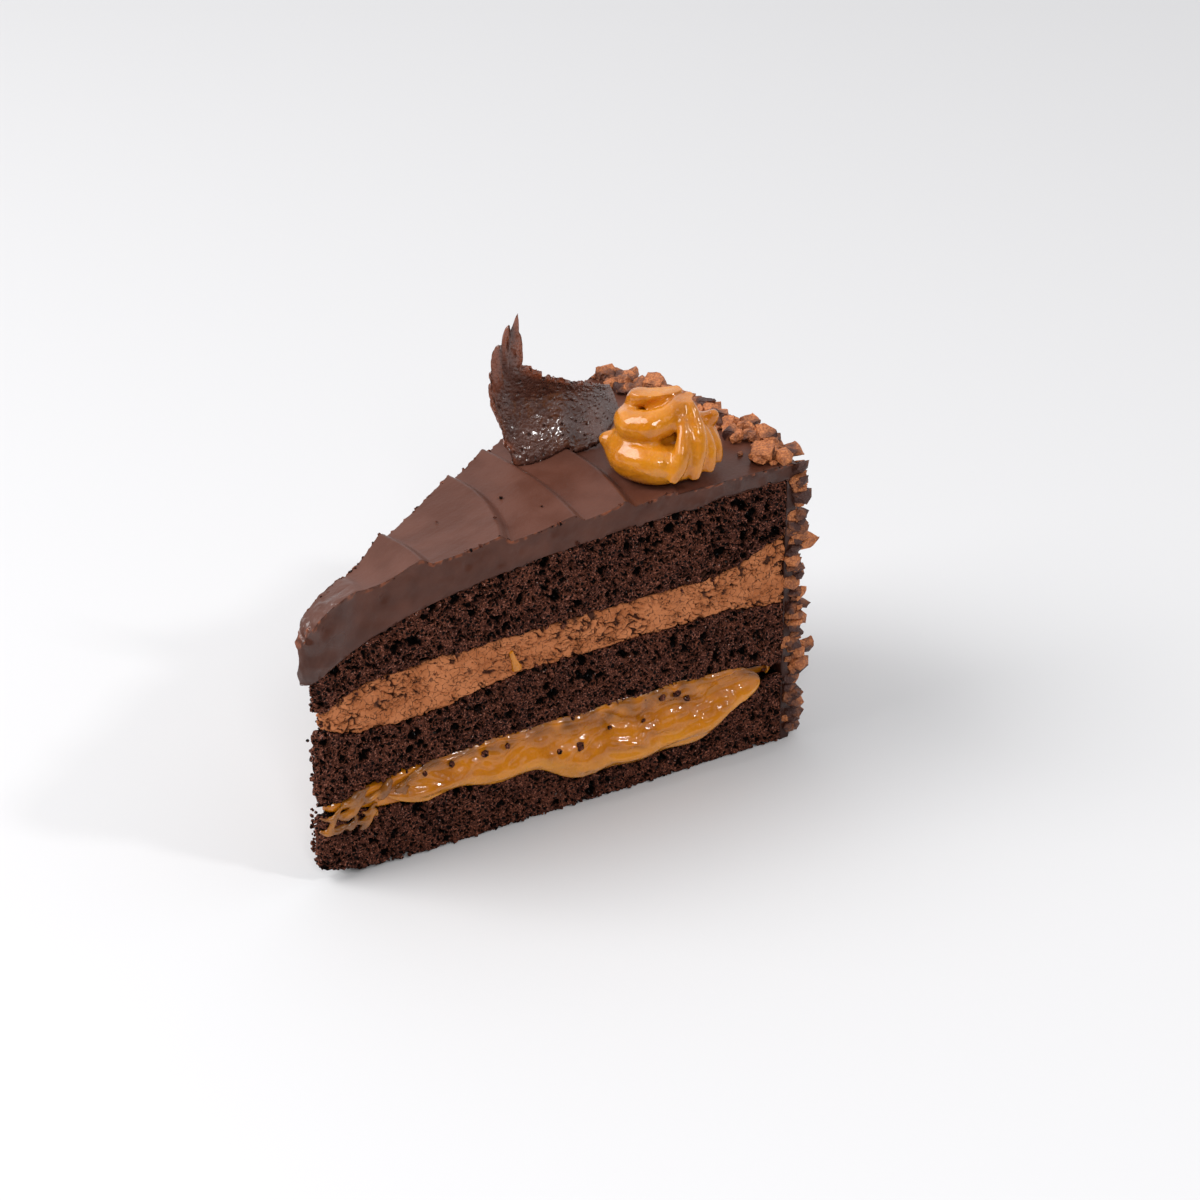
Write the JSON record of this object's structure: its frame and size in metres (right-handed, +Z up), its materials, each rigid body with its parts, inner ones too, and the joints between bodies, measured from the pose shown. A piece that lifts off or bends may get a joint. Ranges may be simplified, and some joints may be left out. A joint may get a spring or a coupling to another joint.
{
  "type": "slice of chocolate layer cake",
  "caption": "Wedge of chocolate sponge with caramel and mousse fillings, ganache on top and rim, a caramel rosette, a chocolate shard and chopped chocolate.",
  "frame": {"origin": "on the surface the slice stands on, under the middle of the slice's bounding box", "axes": "+X from the slice's tip towards its round rim, along the middle between the two cuts; +Y towards the far cut face; +Z up"},
  "size_m": [0.122, 0.0632, 0.1022],
  "materials": {
    "sponge": "very dark brown chocolate sponge crumb, rough and porous",
    "mousse": "light brown chocolate mousse, matt, cracked where it was cut",
    "caramel": "golden brown soft caramel, wet and glossy",
    "ganache": "dark brown chocolate ganache, satin",
    "shard": "dark chocolate, glossy, with pits and bubbles",
    "chunk": "chopped milk chocolate, matt broken faces"
  },
  "bodies": {
    "root": {"sponge_bottom": "sponge", "caramel_layer": "caramel", "sponge_middle": "sponge", "mousse_layer": "mousse", "sponge_top": "sponge", "ganache": "ganache", "chocolate_shard": "shard", "caramel_rosette": "caramel", "rim_chunk_01": "chunk", "rim_chunk_02": "chunk", "rim_chunk_03": "chunk", "rim_chunk_04": "chunk", "rim_chunk_05": "chunk", "rim_chunk_06": "chunk", "rim_chunk_07": "chunk", "rim_chunk_08": "chunk", "rim_chunk_09": "chunk", "rim_chunk_10": "chunk", "rim_chunk_11": "chunk", "rim_chunk_12": "chunk", "side_chunk_01": "chunk", "side_chunk_02": "chunk", "side_chunk_03": "chunk", "side_chunk_04": "chunk", "side_chunk_05": "chunk", "side_chunk_06": "chunk", "side_chunk_07": "chunk", "side_chunk_08": "chunk", "side_chunk_09": "chunk", "side_chunk_10": "chunk", "side_chunk_11": "chunk", "side_chunk_12": "chunk", "side_chunk_13": "chunk", "side_chunk_14": "chunk", "side_chunk_15": "chunk", "side_chunk_16": "chunk", "side_chunk_17": "chunk", "side_chunk_18": "chunk", "side_chunk_19": "chunk", "side_chunk_20": "chunk"}
  },
  "joints": []
}
